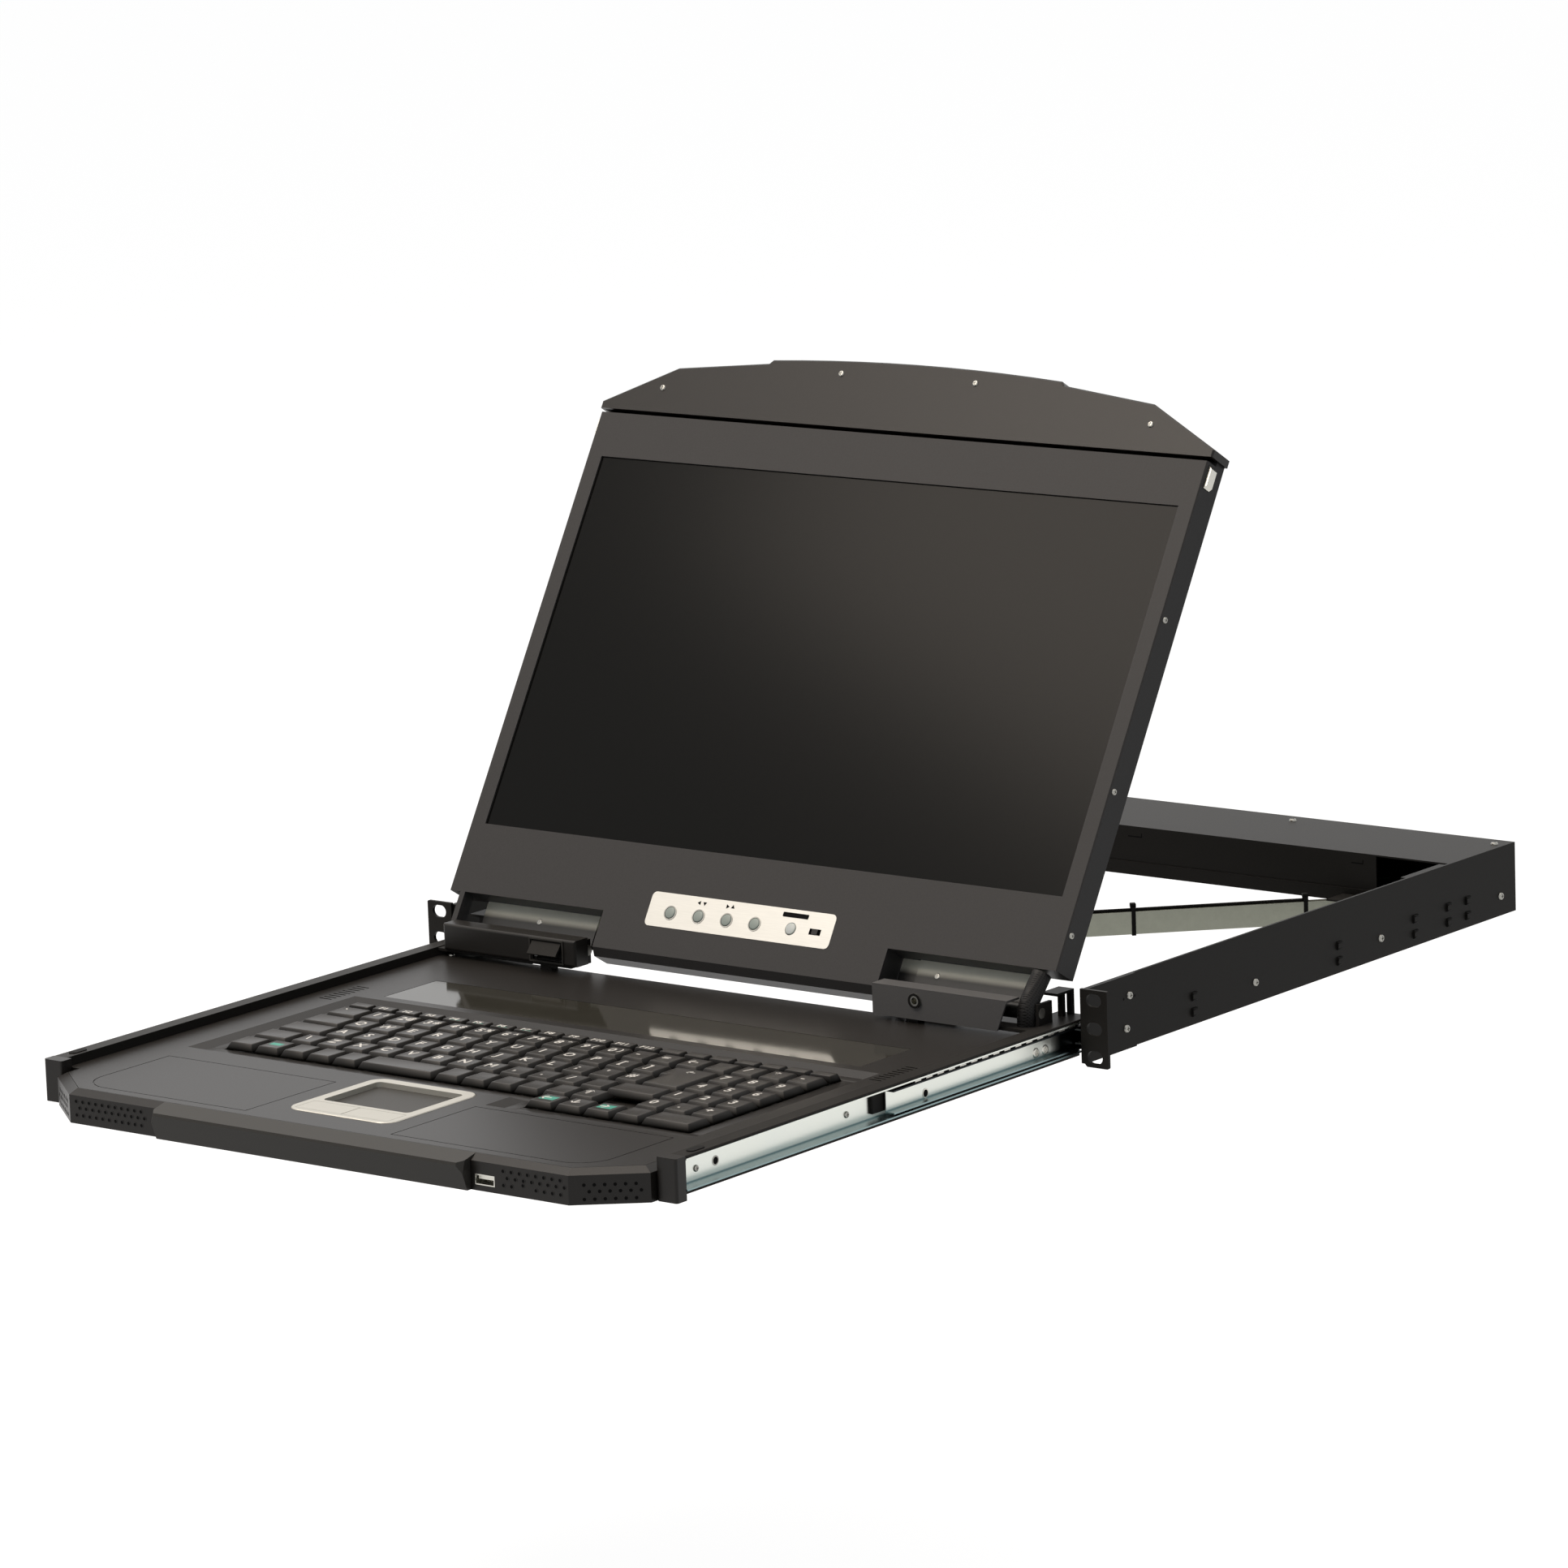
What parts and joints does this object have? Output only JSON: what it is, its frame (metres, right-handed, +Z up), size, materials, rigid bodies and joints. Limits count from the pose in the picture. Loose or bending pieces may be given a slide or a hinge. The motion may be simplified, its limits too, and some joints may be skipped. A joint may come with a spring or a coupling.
{
  "type": "rackmount lcd console drawer",
  "caption": "Rackmount console drawer: a keyboard and touchpad tray on ball-bearing slides with a folding flat screen lid, for a 19 inch rack unit.",
  "frame": {"origin": "centre of the rear face of the two rack ears, midway between their slots", "axes": "+X to the right of a person at the keyboard, +Y into the rack, +Z up"},
  "size_m": [0.4826, 0.83, 0.3482],
  "materials": {
    "black_paint": "textured powder coat",
    "black_plastic": "fine texture",
    "grey_plastic": "satin",
    "silver_plastic": "satin",
    "white_plastic": "lit cap",
    "smoked_window": "smoked, glossy",
    "screen": "screen film",
    "galvanised": "zinc plated",
    "nickel": "nickel plated",
    "circuit_board": "solder mask",
    "rubber": "matte"
  },
  "bodies": {
    "chassis": {"left_side_plate": "black_paint", "right_side_plate": "black_paint", "rack_ears": "black_paint", "rear_box_pan": "black_paint", "rear_box_cover": "black_paint", "chassis_screws": "nickel", "control_board": "circuit_board", "power_supply": "galvanised", "mains_inlet": "black_plastic", "rear_ports": "nickel", "chassis_rails": "galvanised"},
    "power_rocker": {"power_rocker": "black_plastic"},
    "middle_rails": {"middle_rails": "galvanised"},
    "rear_ball_cages": {"rear_ball_cages": "galvanised"},
    "front_ball_cages": {"front_ball_cages": "galvanised"},
    "rear_arm": {"rear_arm_link": "galvanised", "rear_arm_cable": "rubber"},
    "front_arm": {"front_arm_link": "galvanised", "front_arm_cable": "rubber"},
    "drawer": {"tray_pan": "black_paint", "front_bezel": "black_plastic", "handle_bar": "grey_plastic", "keyboard_deck": "black_plastic", "indicator_window": "smoked_window", "keyboard_base": "black_plastic", "touchpad_frame": "silver_plastic", "touchpad_sensor": "black_plastic", "front_sockets": "nickel", "drawer_rails": "galvanised", "rim_bumpers": "rubber", "corner_blocks": "black_plastic", "left_hinge_cover": "black_plastic", "right_hinge_cover": "black_paint", "hinge_brackets": "black_paint", "hinge_pins": "nickel"},
    "lid": {"lid_bezel": "black_paint", "lid_back_cover": "black_paint", "lcd_panel": "screen", "lid_top_plate": "black_plastic", "hinge_leaves": "galvanised", "cable_sleeve": "rubber", "control_circuit": "circuit_board"},
    "function_keys": {"function_keys": "black_plastic"},
    "number_keys": {"number_keys": "black_plastic"},
    "upper_letter_keys": {"upper_letter_keys": "black_plastic"},
    "home_row_keys": {"home_row_keys": "black_plastic"},
    "lower_letter_keys": {"lower_letter_keys": "black_plastic"},
    "bottom_row_keys": {"bottom_row_keys": "black_plastic"},
    "space_bar": {"space_bar": "black_plastic"},
    "left_pad_button": {"left_pad_button": "silver_plastic"},
    "right_pad_button": {"right_pad_button": "silver_plastic"},
    "service_flap": {"service_flap": "black_plastic"},
    "menu_button_1": {"menu_button_1": "grey_plastic"},
    "menu_button_2": {"menu_button_2": "grey_plastic"},
    "menu_button_3": {"menu_button_3": "grey_plastic"},
    "menu_button_4": {"menu_button_4": "grey_plastic"},
    "panel_power_button": {"panel_power_button": "white_plastic"},
    "mode_switch": {"mode_switch": "black_plastic"},
    "right_lid_catch": {"right_lid_catch": "nickel"},
    "left_lid_catch": {"left_lid_catch": "nickel"}
  },
  "joints": [
    {"name": "drawer_slide", "type": "slide", "parent": "chassis", "child": "drawer", "axis": [0, 1, 0], "range_m": [0, 0.34]},
    {"name": "middle_rail_slide", "type": "slide", "parent": "chassis", "child": "middle_rails", "axis": [0, 1, 0], "range_m": [0, 0.17]},
    {"name": "front_cage_roll", "type": "slide", "parent": "chassis", "child": "front_ball_cages", "axis": [0, 1, 0], "range_m": [0, 0.255]},
    {"name": "rear_cage_roll", "type": "slide", "parent": "chassis", "child": "rear_ball_cages", "axis": [0, 1, 0], "range_m": [0, 0.085]},
    {"name": "rear_arm_swing", "type": "hinge", "parent": "chassis", "child": "rear_arm", "pos_m": [0.159, 0.357, -0.0126], "axis": [0, 0, -1], "range_deg": [0, 42.4]},
    {"name": "front_arm_fold", "type": "hinge", "parent": "rear_arm", "child": "front_arm", "pos_m": [-0.02461, 0.18, -0.0126], "axis": [0, 0, 1], "range_deg": [0, 84.79]},
    {"name": "lid_hinge", "type": "hinge", "parent": "drawer", "child": "lid", "pos_m": [0, -0.0184, 0.0096], "axis": [1, 0, 0], "range_deg": [-4, 121.06]},
    {"name": "function_press", "type": "slide", "parent": "drawer", "child": "function_keys", "axis": [0, 0, -1], "range_m": [0, 0.0022], "stiffness_N_per_m": 800, "springref_m": -0.0012},
    {"name": "number_press", "type": "slide", "parent": "drawer", "child": "number_keys", "axis": [0, 0, -1], "range_m": [0, 0.0022], "stiffness_N_per_m": 800, "springref_m": -0.0012},
    {"name": "upper_letter_press", "type": "slide", "parent": "drawer", "child": "upper_letter_keys", "axis": [0, 0, -1], "range_m": [0, 0.0022], "stiffness_N_per_m": 800, "springref_m": -0.0012},
    {"name": "home_row_press", "type": "slide", "parent": "drawer", "child": "home_row_keys", "axis": [0, 0, -1], "range_m": [0, 0.0022], "stiffness_N_per_m": 800, "springref_m": -0.0012},
    {"name": "lower_letter_press", "type": "slide", "parent": "drawer", "child": "lower_letter_keys", "axis": [0, 0, -1], "range_m": [0, 0.0022], "stiffness_N_per_m": 800, "springref_m": -0.0012},
    {"name": "bottom_row_press", "type": "slide", "parent": "drawer", "child": "bottom_row_keys", "axis": [0, 0, -1], "range_m": [0, 0.0022], "stiffness_N_per_m": 800, "springref_m": -0.0012},
    {"name": "space_bar_press", "type": "slide", "parent": "drawer", "child": "space_bar", "axis": [0, 0, -1], "range_m": [0, 0.0022], "stiffness_N_per_m": 800, "springref_m": -0.0012},
    {"name": "left_pad_button_press", "type": "slide", "parent": "drawer", "child": "left_pad_button", "axis": [0, 0, -1], "range_m": [0, 0.0008], "stiffness_N_per_m": 600, "springref_m": -0.0008},
    {"name": "right_pad_button_press", "type": "slide", "parent": "drawer", "child": "right_pad_button", "axis": [0, 0, -1], "range_m": [0, 0.0008], "stiffness_N_per_m": 600, "springref_m": -0.0008},
    {"name": "service_flap_swing", "type": "hinge", "parent": "drawer", "child": "service_flap", "pos_m": [-0.1265, -0.032, 0.0153], "axis": [1, 0, 0], "range_deg": [-20, 40]},
    {"name": "menu_button_1_press", "type": "slide", "parent": "lid", "child": "menu_button_1", "axis": [0, 0.8566, -0.5159], "range_m": [0, 0.0008], "stiffness_N_per_m": 500, "springref_m": -0.0008},
    {"name": "menu_button_2_press", "type": "slide", "parent": "lid", "child": "menu_button_2", "axis": [0, 0.8566, -0.5159], "range_m": [0, 0.0008], "stiffness_N_per_m": 500, "springref_m": -0.0008},
    {"name": "menu_button_3_press", "type": "slide", "parent": "lid", "child": "menu_button_3", "axis": [0, 0.8566, -0.5159], "range_m": [0, 0.0008], "stiffness_N_per_m": 500, "springref_m": -0.0008},
    {"name": "menu_button_4_press", "type": "slide", "parent": "lid", "child": "menu_button_4", "axis": [0, 0.8566, -0.5159], "range_m": [0, 0.0008], "stiffness_N_per_m": 500, "springref_m": -0.0008},
    {"name": "panel_power_button_press", "type": "slide", "parent": "lid", "child": "panel_power_button", "axis": [0, 0.8566, -0.5159], "range_m": [0, 0.0008], "stiffness_N_per_m": 500, "springref_m": -0.0008},
    {"name": "mode_switch_slide", "type": "slide", "parent": "lid", "child": "mode_switch", "axis": [1, 0, 0], "range_m": [-0.0015, 0.0015]},
    {"name": "right_lid_catch_push", "type": "slide", "parent": "lid", "child": "right_lid_catch", "axis": [-1, 0, 0], "range_m": [0, 0.0018], "stiffness_N_per_m": 500, "springref_m": -0.001},
    {"name": "left_lid_catch_push", "type": "slide", "parent": "lid", "child": "left_lid_catch", "axis": [1, 0, 0], "range_m": [0, 0.0018], "stiffness_N_per_m": 500, "springref_m": -0.001},
    {"name": "power_rocker_tilt", "type": "hinge", "parent": "chassis", "child": "power_rocker", "pos_m": [-0.158, 0.435, 0.006], "axis": [1, 0, 0], "range_deg": [-20, 0]}
  ],
  "couplings": [
    {"joint": "middle_rail_slide", "follows": "drawer_slide", "ratio": 0.5},
    {"joint": "front_cage_roll", "follows": "drawer_slide", "ratio": 0.75},
    {"joint": "rear_cage_roll", "follows": "drawer_slide", "ratio": 0.25},
    {"joint": "rear_arm_swing", "follows": "drawer_slide", "rad_per_m": 2.1754},
    {"joint": "front_arm_fold", "follows": "drawer_slide", "rad_per_m": 4.3507}
  ]
}
